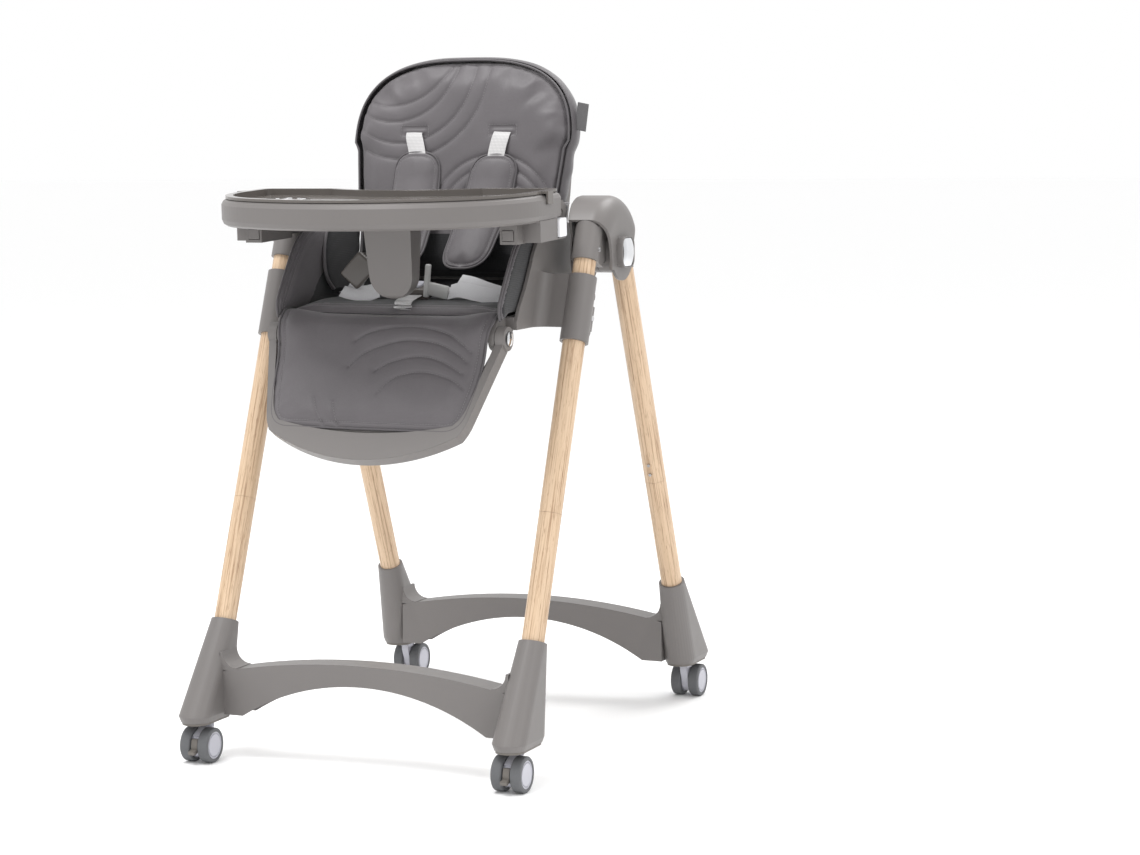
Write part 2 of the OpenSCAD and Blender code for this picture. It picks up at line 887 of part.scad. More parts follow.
module caster_pedal_fl() { color(rubber) at_caster(1, -1) caster_pedal(); }
module caster_body_fr() { color(pale) at_caster(-1, -1) caster_body(); }
module caster_tyres_fr() { color(rubber) at_caster(-1, -1) caster_tyres(); }
module caster_hubs_fr() { color(pale) at_caster(-1, -1) caster_hubs(); }
module caster_pedal_fr() { color(rubber) at_caster(-1, -1) caster_pedal(); }
module caster_body_rl() { color(pale) at_caster(1, 1) caster_body(); }
module caster_tyres_rl() { color(rubber) at_caster(1, 1) caster_tyres(); }
module caster_hubs_rl() { color(pale) at_caster(1, 1) caster_hubs(); }
module caster_pedal_rl() { color(rubber) at_caster(1, 1) caster_pedal(); }
module caster_body_rr() { color(pale) at_caster(-1, 1) caster_body(); }
module caster_tyres_rr() { color(rubber) at_caster(-1, 1) caster_tyres(); }
module caster_hubs_rr() { color(pale) at_caster(-1, 1) caster_hubs(); }
module caster_pedal_rr() { color(rubber) at_caster(-1, 1) caster_pedal(); }
module carrier_left() { color(plastic) carrier(); }
module carrier_right() { color(plastic) mirror([1, 0, 0]) carrier(); }
module height_lever_left() { color(pale) height_lever(); }
module height_lever_right() { color(pale) mirror([1, 0, 0]) height_lever(); }
module carrier_fixings() { color(metal) front_leg() carrier_screws(); }
module buckle() { color(dark_plastic) harness_buckle(); }
module recline_handle() { color(plastic) recline_lever(); }
module footrest_button_left() { color(metal) footrest_button(); }
module footrest_button_right() { color(metal) mirror([1, 0, 0]) footrest_button(); }
module footrest_stay() { color(metal) stay(); }
module footrest_flap() { color(padding) flap(); }
module tray_arms() { color(plastic) both_sides() tray_arm(); }
module crotch_post() { color(plastic) crotch_post_body(); }
module tray_latch_left() { color(pale) tray_latch(); }
module tray_latch_right() { color(pale) mirror([1, 0, 0]) tray_latch(); }

front_base();
front_foot_caps();
front_tubes_lower();
front_tubes_upper();
front_sockets();
pivot_pins();
front_fixings();
rear_base();
rear_foot_caps();
rear_tubes_lower();
rear_tubes_upper();
rear_sockets();
rear_fixings();
hinge_cover_left();
hinge_cover_right();
fold_button_left();
fold_button_right();
caster_body_fl();
caster_tyres_fl();
caster_hubs_fl();
caster_pedal_fl();
caster_body_fr();
caster_tyres_fr();
caster_hubs_fr();
caster_pedal_fr();
caster_body_rl();
caster_tyres_rl();
caster_hubs_rl();
caster_pedal_rl();
caster_body_rr();
caster_tyres_rr();
caster_hubs_rr();
caster_pedal_rr();
carrier_left();
carrier_right();
height_lever_left();
height_lever_right();
carrier_fixings();
seat_shell();
seat_cushion();
side_wings();
buckle();
lap_belts();
back_shell();
back_cushion();
recline_handle();
shoulder_straps();
shoulder_pads();
footrest_frame();
footrest_button_left();
footrest_button_right();
footrest_stay();
footrest_flap();
tray_arms();
tray_base();
crotch_post();
tray_latch_left();
tray_latch_right();
tray_insert();
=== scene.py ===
"""Looks of the folding high chair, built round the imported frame.

The chair faces -Y. Soft pieces are drawn flat as (u, v, n): u across, v along, n out of the padded face.
They are swollen by a cloth simulation, grooved along their seams, and then laid on their place.
"""

import json
import math

import bmesh
import bpy
import numpy as np
from mathutils import Matrix, Vector
from mathutils.bvhtree import BVHTree


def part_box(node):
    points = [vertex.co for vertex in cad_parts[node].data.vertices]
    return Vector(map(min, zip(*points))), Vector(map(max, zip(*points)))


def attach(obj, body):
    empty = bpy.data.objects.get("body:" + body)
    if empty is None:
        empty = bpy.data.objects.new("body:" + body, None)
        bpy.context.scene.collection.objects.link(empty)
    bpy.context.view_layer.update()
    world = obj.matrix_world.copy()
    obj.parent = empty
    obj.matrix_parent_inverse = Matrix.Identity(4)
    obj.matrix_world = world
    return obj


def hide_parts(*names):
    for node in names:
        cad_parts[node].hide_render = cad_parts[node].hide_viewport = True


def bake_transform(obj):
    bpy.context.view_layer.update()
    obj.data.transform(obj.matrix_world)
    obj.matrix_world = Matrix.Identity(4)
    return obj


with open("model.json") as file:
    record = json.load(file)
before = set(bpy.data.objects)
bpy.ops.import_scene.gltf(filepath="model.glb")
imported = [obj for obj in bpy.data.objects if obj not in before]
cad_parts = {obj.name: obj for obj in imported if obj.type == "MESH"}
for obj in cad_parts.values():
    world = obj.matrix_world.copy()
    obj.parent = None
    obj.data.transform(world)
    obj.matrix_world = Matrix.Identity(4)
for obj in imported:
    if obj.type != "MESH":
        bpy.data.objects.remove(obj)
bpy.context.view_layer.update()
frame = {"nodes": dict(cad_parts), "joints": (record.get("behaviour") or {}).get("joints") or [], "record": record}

MM = 0.001
JOINTS = {j["name"]: j for j in frame["joints"]}
RNG = np.random.default_rng(7)


# ---------- places, worked out from the frame ----------


def tilted(origin, lean):
    """A frame at origin whose +Z leans back by lean degrees, as the CAD's rotate([-lean, 0, 0])."""
    return Matrix.Translation(origin) @ Matrix.Rotation(math.radians(-lean), 4, "X")


HINGE = Vector(JOINTS["fold"]["pos_m"])
LEG_LEAN = 21.2
BACK = tilted(JOINTS["recline"]["pos_m"], 12)
FOOTREST = tilted(JOINTS["footrest_swing"]["pos_m"], 31)
Y0 = HINGE.y


# ---------- materials ----------


def new_material(name, slot_color, roughness, **sockets):
    """A Principled material. Returns the material, its node tree and its shader node."""
    m = bpy.data.materials.new(name)
    m.use_nodes = True
    shader = m.node_tree.nodes["Principled BSDF"]
    shader.inputs["Base Color"].default_value = (*slot_color, 1)
    shader.inputs["Roughness"].default_value = roughness
    for key, value in sockets.items():
        shader.inputs[key.replace("_", " ")].default_value = value
    m.diffuse_color = (*slot_color, 1)
    return m, m.node_tree, shader


def node(tree, kind, inputs=None, **settings):
    n = tree.nodes.new(kind)
    for key, value in settings.items():
        setattr(n, key, value)
    for key, value in (inputs or {}).items():
        n.inputs[key].default_value = value
    return n


def object_coords(tree, scale=(1, 1, 1), turn=(0, 0, 0)):
    """Object coordinates, turned and then scaled."""
    coords = node(tree, "ShaderNodeTexCoord")
    turned = node(tree, "ShaderNodeMapping", {"Rotation": turn})
    scaled = node(tree, "ShaderNodeMapping", {"Scale": scale})
    tree.links.new(coords.outputs["Object"], turned.inputs["Vector"])
    tree.links.new(turned.outputs[0], scaled.inputs["Vector"])
    return scaled.outputs[0]


def noise(tree, vector, scale, detail=3, rough=0.5):
    n = node(tree, "ShaderNodeTexNoise", {"Scale": scale, "Detail": detail, "Roughness": rough})
    tree.links.new(vector, n.inputs["Vector"])
    return n.outputs["Fac"]


def ramp(tree, factor, stops):
    """A colour ramp over (position, colour) stops."""
    r = node(tree, "ShaderNodeValToRGB")
    while len(r.color_ramp.elements) < len(stops):
        r.color_ramp.elements.new(0.5)
    for element, (at, color) in zip(r.color_ramp.elements, stops):
        element.position = at
        element.color = (*color, 1)
    tree.links.new(factor, r.inputs["Fac"])
    return r.outputs["Color"]


def span(tree, factor, low, high):
    """Factor 0..1 mapped to low..high."""
    r = node(tree, "ShaderNodeMapRange", {"To Min": low, "To Max": high})
    tree.links.new(factor, r.inputs["Value"])
    return r.outputs["Result"]


def mixed(tree, factor, a, b, kind="MIX"):
    m = node(tree, "ShaderNodeMix", data_type="RGBA", blend_type=kind)
    m.inputs["Factor"].default_value = 1
    if factor is not None:
        tree.links.new(factor, m.inputs["Factor"])
    for socket, value in ((m.inputs[6], a), (m.inputs[7], b)):
        if isinstance(value, tuple):
            socket.default_value = (*value, 1)
        else:
            tree.links.new(value, socket)
    return m.outputs[2]


def bump(tree, shader, height, strength, distance, edge=0.0):
    """Bumps the shader's normal, over edges softened to a small radius."""
    b = node(tree, "ShaderNodeBump", {"Strength": strength, "Distance": distance})
    tree.links.new(height, b.inputs["Height"])
    if edge:
        soft = node(tree, "ShaderNodeBevel", {"Radius": edge}, samples=4)
        tree.links.new(soft.outputs[0], b.inputs["Normal"])
    tree.links.new(b.outputs[0], shader.inputs["Normal"])


def shade(color, k):
    return tuple(c * k for c in color)


def moulded_plastic(name, color, roughness, edge=0.0011, grain=0.12):
    """Moulded plastic: fine spark texture, faint flow marks, softened edges with a painted highlight along convex
    edges.
    """
    m, tree, shader = new_material(name, color, roughness, Specular_IOR_Level=0.45)
    at = object_coords(tree)
    cloud = noise(tree, at, 9, 4)
    tint = ramp(tree, cloud, [(0.3, shade(color, 0.965)), (0.7, shade(color, 1.035))])
    # painted highlight: the base colour is lightened along convex edges, found from pointiness
    geometry = node(tree, "ShaderNodeNewGeometry")
    edge_convexity = span(tree, geometry.outputs["Pointiness"], 0, 1)
    edge_highlight = ramp(tree, edge_convexity, [(0.52, (0, 0, 0)), (0.62, (0.35, 0.35, 0.35))])
    tree.links.new(mixed(tree, edge_highlight, tint, shade(color, 1.18)), shader.inputs["Base Color"])
    fine = noise(tree, at, 1700, 2)
    tree.links.new(
        span(tree, noise(tree, at, 60, 3), roughness - 0.05, roughness + 0.05), shader.inputs["Roughness"]
    )
    bump(tree, shader, fine, grain, 0.0003, edge)
    return m


def oak_film(name, lean):
    """Light oak film on a tube: long grain along the leg, pores and slow colour bands."""
    light, mid, dark = (0.66, 0.49, 0.335), (0.56, 0.40, 0.26), (0.33, 0.21, 0.125)
    m, tree, shader = new_material(name, mid, 0.42, Specular_IOR_Level=0.4)
    turn = (math.radians(lean), 0, 0)
    long_grain = object_coords(tree, (1, 1, 0.035), turn)
    bands = noise(tree, long_grain, 75, 3, 0.55)
    streaks = noise(tree, object_coords(tree, (1, 1, 0.02), turn), 420, 4, 0.65)
    pores = noise(tree, object_coords(tree, (1, 1, 0.07), turn), 900, 2, 0.5)
    base = ramp(tree, bands, [(0.28, mid), (0.5, light), (0.75, shade(light, 0.93))])
    lines = ramp(tree, streaks, [(0.36, dark), (0.5, (1, 1, 1))])
    grained = mixed(tree, None, base, lines, "MULTIPLY")
    grained.node.inputs["Factor"].default_value = 0.6
    specks = ramp(tree, pores, [(0.3, dark), (0.4, (1, 1, 1))])
    spotted = mixed(tree, None, grained, specks, "MULTIPLY")
    spotted.node.inputs["Factor"].default_value = 0.5
    tree.links.new(spotted, shader.inputs["Base Color"])
    tree.links.new(span(tree, streaks, 0.5, 0.34), shader.inputs["Roughness"])
    bump(tree, shader, streaks, 0.18, 0.0003)
    return m


def leatherette(name, color, roughness=0.5):
    """Soft grained leatherette: cell grain, creased tint and a faint sheen."""
    m, tree, shader = new_material(name, color, roughness, Sheen_Weight=0.25, Sheen_Roughness=0.45)
    at = object_coords(tree)
    cells = node(tree, "ShaderNodeTexVoronoi", {"Scale": 780, "Randomness": 0.9}, feature="DISTANCE_TO_EDGE")
    tree.links.new(at, cells.inputs["Vector"])
    grain = span(tree, cells.outputs["Distance"], 0, 1)
    grain.node.inputs["From Max"].default_value = 0.35
    soft = noise(tree, at, 14, 4)
    tint = ramp(tree, soft, [(0.25, shade(color, 0.9)), (0.75, shade(color, 1.08))])
    creased = ramp(tree, grain, [(0.0, (0.8, 0.8, 0.8)), (0.35, (1, 1, 1))])
    tree.links.new(mixed(tree, None, tint, creased, "MULTIPLY"), shader.inputs["Base Color"])
    tree.links.new(
        span(tree, noise(tree, at, 240, 2), roughness - 0.07, roughness + 0.07), shader.inputs["Roughness"]
    )
    bump(tree, shader, grain, 0.22, 0.0004)
    return m


def woven(name, color, pitch, roughness=0.7, sheen=0.4):
    """Woven cloth: crossed wave bands at the thread pitch."""
    m, tree, shader = new_material(name, color, roughness, Sheen_Weight=sheen)
    at = object_coords(tree)
    waves = []
    for direction in ("X", "Z"):
        w = node(
            tree, "ShaderNodeTexWave", {"Scale": 1 / pitch / 6.28, "Distortion": 0.6},
            bands_direction=direction
        )
        tree.links.new(at, w.inputs["Vector"])
        waves.append(w.outputs["Fac"])
    weave = node(tree, "ShaderNodeMath", operation="MULTIPLY")
    tree.links.new(waves[0], weave.inputs[0])
    tree.links.new(waves[1], weave.inputs[1])
    height = weave.outputs[0]
    tree.links.new(
        ramp(tree, height, [(0.0, shade(color, 0.72)), (0.6, shade(color, 1.1))]), shader.inputs["Base Color"]
    )
    bump(tree, shader, height, 0.5, 0.0004)
    return m


def polished(name, color, roughness, core=1.0):
    """Polished metal. core darkens what faces the viewer, as a mirror does in a white studio."""
    m, tree, shader = new_material(name, color, roughness, Metallic=1.0)
    at = object_coords(tree)
    facing = node(tree, "ShaderNodeLayerWeight", {"Blend": 0.42})
    tone = ramp(tree, facing.outputs["Facing"], [(0.08, shade(color, core)), (0.45, color)])
    tree.links.new(tone, shader.inputs["Base Color"])
    tree.links.new(
        span(tree, noise(tree, at, 300, 3), roughness * 0.6, roughness * 1.6), shader.inputs["Roughness"]
    )
    bump(tree, shader, noise(tree, at, 900, 2), 0.03, 0.0002, 0.0006)
    return m


GREY, TAUPE = (0.160, 0.149, 0.144), (0.122, 0.110, 0.101)
HIDE = (0.116, 0.106, 0.113)
MATERIALS = {
    "grey_plastic": moulded_plastic("moulded_grey", GREY, 0.42),
    "dark_plastic": moulded_plastic("glossy_taupe", TAUPE, 0.16, grain=0.02),
    "cap_plastic": moulded_plastic("dark_grey_plastic", (0.150, 0.136, 0.122), 0.5),
    "pale_plastic": moulded_plastic("pale_plastic", (0.47, 0.47, 0.52), 0.38),
    "tyre_rubber": moulded_plastic("tyre_rubber", (0.115, 0.118, 0.124), 0.62, grain=0.3),
    "chrome": polished("chrome", (0.80, 0.81, 0.83), 0.07, 0.22),
    "steel": polished("plated_steel", (0.60, 0.60, 0.61), 0.28, 0.6),
    "leatherette": leatherette("leatherette", HIDE),
    "webbing": woven("webbing", (0.62, 0.61, 0.61), 0.0011, 0.45, 0.6),
}
OAK = {"front": oak_film("oak_film_front", LEG_LEAN), "rear": oak_film("oak_film_rear", -LEG_LEAN)}
# Black lining: real on the wings' outer faces and the hip bolsters, and also laid as painted shade over the
# shadowed interior (lower back, rear of the seat, rear of the wings' inner faces).
LINING_AND_SHADE = woven("black_lining_and_painted_shade", (0.016, 0.016, 0.018), 0.0013, 0.85, 0.25)
BINDING = leatherette("leatherette_binding", shade(HIDE, 0.8), 0.55)
THREAD = new_material("thread", (0.21, 0.20, 0.205), 0.6)[0]
LABEL = woven("label_cloth", (0.82, 0.82, 0.84), 0.0006, 0.6, 0.2)
CLEAR = moulded_plastic("translucent_adjuster", (0.55, 0.55, 0.54), 0.25)
WHITE = moulded_plastic("white_plastic", (0.78, 0.78, 0.80), 0.35)

for part in frame["record"]["subparts"]:
    name, slot_name = part["node"], part["material_slot"]
    if slot_name == "wood_film":
        material = OAK["front" if name.startswith("front") else "rear"]
    elif name.startswith("tray_latch"):
        material = WHITE
    elif name.startswith("height_lever"):
        material = MATERIALS["grey_plastic"]
    else:
        material = MATERIALS[slot_name]
    mesh = frame["nodes"][name].data
    mesh.materials.clear()
    mesh.materials.append(material)


# ---------- mesh helpers ----------


def mesh_object(name, verts, faces, material, smooth=True):
    mesh = bpy.data.meshes.new(name)
    mesh.from_pydata([tuple(v) for v in verts], [], [tuple(f) for f in faces])
    mesh.validate()
    mesh.materials.append(material)
    if smooth:
        mesh.shade_smooth()
    o = bpy.data.objects.new(name, mesh)
    bpy.context.scene.collection.objects.link(o)
    return o


def coords(o):
    co = np.empty(len(o.data.vertices) * 3, np.float32)
    o.data.vertices.foreach_get("co", co)
    return co.reshape(-1, 3).astype(float)


def set_coords(o, co):
    o.data.vertices.foreach_set("co", np.asarray(co, np.float32).ravel())
    o.data.update()


def apply_modifiers(o):
    """Replaces o's mesh by what its modifiers make of it."""
    dg = bpy.context.evaluated_depsgraph_get()
    dg.update()
    mesh = bpy.data.meshes.new_from_object(o.evaluated_get(dg), depsgraph=dg)
    o.modifiers.clear()
    o.data = mesh
    return o


def smoothstep(x, low, high):
    t = np.clip((x - low) / (high - low), 0, 1)
    return t * t * (3 - 2 * t)


def frames_along(path, up):
    """Tangent, side and up vectors at each point of a path. up stays as near the given one as it can."""
    path = np.asarray(path, float)
    t = np.gradient(path, axis=0)
    t /= np.linalg.norm(t, axis=1)[:, None]
    up = np.broadcast_to(np.asarray(up, float), path.shape)
    side = np.cross(t, up)
    side /= np.linalg.norm(side, axis=1)[:, None]
    return t, side, np.cross(side, t)


def sweep(name, path, section, up, material, closed=False):
    """Sweeps a closed section of (side, up) points along a path. Section may be one list or one per point."""
    path = np.asarray(path, float)
    t, side, up = frames_along(path, up)
    if closed:
        t = np.roll(path, -1, 0) - np.roll(path, 1, 0)
        t /= np.linalg.norm(t, axis=1)[:, None]
        side = np.cross(t, up)
        side /= np.linalg.norm(side, axis=1)[:, None]
    section = np.asarray(section, float)
    if section.ndim == 2:
        section = np.broadcast_to(section, (len(path), *section.shape))
    k = section.shape[1]
    verts = (
        path[:, None] + side[:, None] * section[:, :, :1] + up[:, None] * section[:, :, 1:]
    ).reshape(-1, 3)
    rows = len(path) if closed else len(path) - 1
    faces = []
    for i in range(rows):
        a, b = i * k, (i + 1) % len(path) * k
        faces += [(a + j, a + (j + 1) % k, b + (j + 1) % k, b + j) for j in range(k)]
    if not closed:
        faces += [tuple(range(k))[::-1], tuple(range(len(verts) - k, len(verts)))]
    return mesh_object(name, verts, faces, material)


def ring(radius, count=8, flat=1.0):
    a = np.linspace(0, 2 * math.pi, count, endpoint=False)
    return np.stack([radius * np.cos(a), radius * flat * np.sin(a)], 1)


def strap_section(width, thick):
    """A flat strap with rounded edges, as (side, up)."""
    w, t = width / 2, thick / 2
    a = np.radians([-90, -45, 0, 45, 90])
    right = np.stack([w - t + t * np.cos(a), t * np.sin(a)], 1)
    return np.concatenate([right, -right])


def curve_through(points, count=40):
    """A smooth path through the points (Catmull-Rom)."""
    p = np.asarray(points, float)
    p = np.concatenate([2 * p[:1] - p[1:2], p, 2 * p[-1:] - p[-2:-1]])
    out = []
    spans = len(p) - 3
    for s in np.linspace(0, spans - 1e-9, count):
        i, t = int(s), s - int(s)
        a, b, c, d = p[i : i + 4]
        out.append(
            0.5 * (2 * b + (c - a) * t + (2 * a - 5 * b + 4 * c - d) * t * t + (3 * b - a - 3 * c + d) * t**3)
        )
    return np.array(out)


# ---------- pads ----------


def prism(name, outline, low, high, material):
    """A closed block with the outline as (u, v), from n = low to n = high."""
    count = len(outline)
    verts = [(u, v, low) for u, v in outline] + [(u, v, high) for u, v in outline]
    faces = [tuple(range(count))[::-1], tuple(range(count, 2 * count))]
    faces += [(i, (i + 1) % count, count + (i + 1) % count, count + i) for i in range(count)]
    return mesh_object(name, verts, faces, material)


def swell(o, pressure, cap, pinned):
    """Blows the mesh up a little as cloth. Pinned vertices stay, and no point moves further than cap."""
    before = coords(o)
    group = o.vertex_groups.new(name="pinned")
    group.add([int(i) for i in np.nonzero(pinned)[0]], 1.0, "REPLACE")
    cloth = o.modifiers.new("swell", "CLOTH")
    cloth.settings.quality = 4
    cloth.settings.mass = 0.25
    cloth.settings.tension_stiffness = cloth.settings.compression_stiffness = 12
    cloth.settings.shear_stiffness = 4
    cloth.settings.bending_stiffness = 0.4
    cloth.settings.use_pressure = True
    cloth.settings.uniform_pressure_force = pressure
    cloth.settings.effector_weights.gravity = 0
    cloth.settings.vertex_group_mass = "pinned"
    cloth.collision_settings.use_collision = False
    scene = bpy.context.scene
    for f in range(1, 21):
        scene.frame_set(f)
    apply_modifiers(o)
    scene.frame_set(1)
    moved = coords(o) - before
    size = np.linalg.norm(moved, axis=1)[:, None]
    set_coords(o, before + moved * np.minimum(1, cap / np.maximum(size, 1e-9)))
    o.vertex_groups.clear()


def relax(o, rounds, weight=0.5):
    """Laplacian smoothing."""
    edges = np.empty(len(o.data.edges) * 2, np.int64)
    o.data.edges.foreach_get("vertices", edges)
    a, b = edges.reshape(-1, 2).T
    co = coords(o)
    degree = np.bincount(np.concatenate([a, b]), minlength=len(co))[:, None]
    for _ in range(rounds):
        total = np.zeros_like(co)
        np.add.at(total, a, co[b])
        np.add.at(total, b, co[a])
        co += weight * (total / np.maximum(degree, 1) - co)
    set_coords(o, co)


def pad(
    name, outline, low, high, voxel=0.005, pressure=4.0, cap=0.006, grooves=(), depth=0.0022, edge=0.004,
    lay=None, lined_or_shaded=None
):
    """A swollen pad from a flat outline. grooves are functions giving each point's distance to a seam.
    The lining test tells which flat points are covered with the black lining, which is real lining on some pieces
    and painted shade on others."""
    o = prism(name, outline, low, high, MATERIALS["leatherette"])
    remesh = o.modifiers.new("voxels", "REMESH")
    remesh.mode, remesh.voxel_size = "VOXEL", voxel
    apply_modifiers(o)
    relax(o, 3)
    swell(o, pressure, cap, coords(o)[:, 2] < low + edge)
    relax(o, 1)
    subsurf = o.modifiers.new("finer", "SUBSURF")
    subsurf.levels = subsurf.render_levels = 1
    apply_modifiers(o)
    co = coords(o)
    front = smoothstep(co[:, 2], low + 0.35 * (high - low), low + 0.65 * (high - low))
    for groove in grooves:
        d = groove(co)
        dip = 0.62 * np.exp(-((d / 0.0016) ** 2)) + 0.38 * np.exp(-((d / 0.0065) ** 2))
        co[:, 2] -= depth * dip * front
    set_coords(o, co)
    o.data.shade_smooth()
    o.data.materials.clear()
    o.data.materials.append(MATERIALS["leatherette"])
    if lined_or_shaded:
        o.data.materials.append(LINING_AND_SHADE)
        middle = np.array([f.center for f in o.data.polygons])
        o.data.polygons.foreach_set("material_index", lined_or_shaded(middle).astype(np.int32))
    if lay:
        set_coords(o, lay(co))
        o.data.update()
    return o


def on_plane(place):
    """Lays (u, v, n) on a tilted frame: n points to the front."""
    m = np.array(place)

    def lay(co):
        p = np.stack([co[:, 0], -co[:, 2], co[:, 1]], 1)
        return p @ m[:3, :3].T + m[:3, 3]

    return lay


def surface_drop(o, out):
    """A function that drops points onto o's surface, from the side out points to."""
    o.data.update()
    dg = bpy.context.evaluated_depsgraph_get()
    tree = BVHTree.FromObject(o, dg)
    out = Vector(out).normalized()

    def drop(point):
        hit, normal, _, _ = tree.ray_cast(Vector(point) + out * 0.08, -out, 0.16)
        return (hit, normal) if hit else (None, None)

    return drop


def stitches(name, lines, drop, pitch=0.0042, length=0.0027, radius=0.00042):
    """Thread dashes along world-space lines, dropped onto a surface."""
    verts, faces = [], []
    k = 6
    for line in lines:
        line = np.asarray(line, float)
        step = np.linalg.norm(np.diff(line, axis=0), axis=1)
        run = np.concatenate([[0], np.cumsum(step)])
        for s in np.arange(pitch / 2, run[-1] - pitch / 2, pitch):
            ends = [
                np.array([np.interp(s + e * length / 2, run, line[:, i]) for i in range(3)]) for e in (-1, 1)
            ]
            (a, na), (b, nb) = drop(ends[0]), drop(ends[1])
            if a is None or b is None or (b - a).length > 3 * length:
                continue
            n = (na + nb).normalized()
            along = (b - a).normalized()
            side = along.cross(n)
            base = len(verts)
            for t, r, h in ((0, 0.35, -0.2), (0.2, 1, 0.35), (0.8, 1, 0.35), (1, 0.35, -0.2)):
                c = a.lerp(b, t) + n * radius * h
                for j in range(k):
                    q = 2 * math.pi * j / k
                    verts.append(c + (side * math.cos(q) + n * math.sin(q)) * radius * r)
            for i in range(3):
                for j in range(k):
                    p, q = base + i * k + j, base + i * k + (j + 1) % k
                    faces.append((p, q, q + k, p + k))
            faces += [tuple(base + j for j in range(k))[::-1], tuple(base + 3 * k + j for j in range(k))]
    return mesh_object(name, verts, faces, THREAD)


def arc(centre, radius, start, end, count=60):
    a = np.radians(np.linspace(start, end, count))
    return np.stack([centre[0] + radius * np.cos(a), centre[1] + radius * np.sin(a)], 1)


def inside(points, half_width, low, high):
    """The part of a flat line that lies inside a pad's limits, where half_width is a function of v."""
    return points[
        (np.abs(points[:, 0]) < half_width(points[:, 1])) & (points[:, 1] > low)
        & (points[:, 1] < high(points[:, 0]))
    ]


# ---------- backrest cushion ----------

BACK_TOP, BACK_HALF = 0.352, 0.178
SHOULDER_V = 0.215


def back_half(v):
    """Half width of the back cushion at height v."""
    v = np.asarray(v, float)
    body = np.interp(v, [0.015, 0.11, 0.15, 0.28], [0.150, 0.157, 0.165, BACK_HALF])
    over = np.clip((v - SHOULDER_V) / (BACK_TOP - SHOULDER_V), 0, 1)
    return body * (1 - over**2.8) ** (1 / 2.8)


def back_top(u):
    u = np.clip(np.abs(np.asarray(u, float)) / BACK_HALF, 0, 1)
    return SHOULDER_V + (BACK_TOP - SHOULDER_V) * (1 - u**2.8) ** (1 / 2.8)


def back_edge(inset=0.0, low=0.016, count=90):
    """The back's outline from low on +u, over the top, to low on -u."""
    rise = np.linspace(low, SHOULDER_V, count // 3)
    side = np.stack([back_half(rise) - inset, rise], 1)
    a = np.linspace(0, math.pi / 2, count // 3)[1:]
    over = np.stack(
        [
            (BACK_HALF - inset) * np.cos(a) ** (2 / 2.8),
            SHOULDER_V + (BACK_TOP - inset - SHOULDER_V) * np.sin(a) ** (2 / 2.8)
        ],
        1
    )
    over[:, 0] = np.minimum(over[:, 0], back_half(np.minimum(over[:, 1], BACK_TOP - 0.0005)) + 0.004)
    half = np.concatenate([side, over])
    return np.concatenate([half, half[::-1][1:] * [-1, 1]])


BACK_ARCS = [
    arc((-0.113, 0.378), 0.099, 180, 360),
    arc((-0.108, 0.352), 0.0975, 180, 360),
    arc((-0.095, 0.335), 0.113, 180, 370),
    arc((-0.092, 0.331), 0.133, 180, 370),
    arc((0.061, 0.106), 0.098, 0, 180),
    arc((0.063, 0.102), 0.085, 0, 180),
    arc((0.063, 0.098), 0.071, 0, 180),
]


def groove_along(line, reach=0.02):
    """The distance of each point to a flat line of points."""
    line = np.asarray(line, float)

    def distance(co):
        best = np.full(len(co), reach)
        lo, hi = line.min(0) - reach, line.max(0) + reach
        near = np.nonzero(((co[:, :2] > lo) & (co[:, :2] < hi)).all(1))[0]
        a, b = line[:-1], line[1:]
        ab = b - a
        for chunk in np.array_split(near, max(1, len(near) // 4000)):
            p = co[chunk, None, :2]
            t = np.clip(((p - a) * ab).sum(2) / np.maximum((ab * ab).sum(1), 1e-12), 0, 1)
            best[chunk] = np.minimum(best[chunk], np.linalg.norm(p - (a + t[:, :, None] * ab), axis=2).min(1))
        return best

    return distance


def slot_border(side, grow=0.0):
    """The stitched rectangle round a harness slot."""
    u, v, w, h = side * 0.072, 0.240, 0.019 + grow, 0.0055 + grow
    return np.array([(u - w, v - h), (u + w, v - h), (u + w, v + h), (u - w, v + h), (u - w, v - h)])


BACK_FRONT = 0.0215
back_lines = [
    inside(a, lambda v: back_half(v) - 0.012, 0.02, lambda u: back_top(u) - 0.003) for a in BACK_ARCS
]
# The lower back gets the black lining: partly real lining, partly painted shade in the shadowed interior.
back_pad = pad(
    "back_pad",
    back_edge(0.002)[1:-1],
    -0.003,
    BACK_FRONT,
    cap=0.007,
    pressure=4.5,
    grooves=[groove_along(a) for a in back_lines] + [groove_along(slot_border(s)) for s in (-1, 1)],
    depth=0.0030,
    lay=on_plane(BACK),
    lined_or_shaded=lambda p: p[:, 1] < 0.085,
)
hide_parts("back_cushion")
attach(back_pad, "backrest")


def to_world(place, flat, n=0.0):
    """Flat (u, v) points at height n, in the row frame."""
    flat = np.asarray(flat, float)
    return on_plane(place)(np.column_stack([flat[:, 0], flat[:, 1], np.broadcast_to(n, len(flat))]))


BACK_OUT = BACK.to_3x3() @ Vector((0, -1, 0))
drop_on_back = surface_drop(back_pad, BACK_OUT)
seams = [to_world(BACK, a, 0.02) for a in back_lines]
seams += [to_world(BACK, slot_border(s, 0.0035), 0.02) for s in (-1, 1)]
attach(stitches("back_stitching", seams, drop_on_back), "backrest")


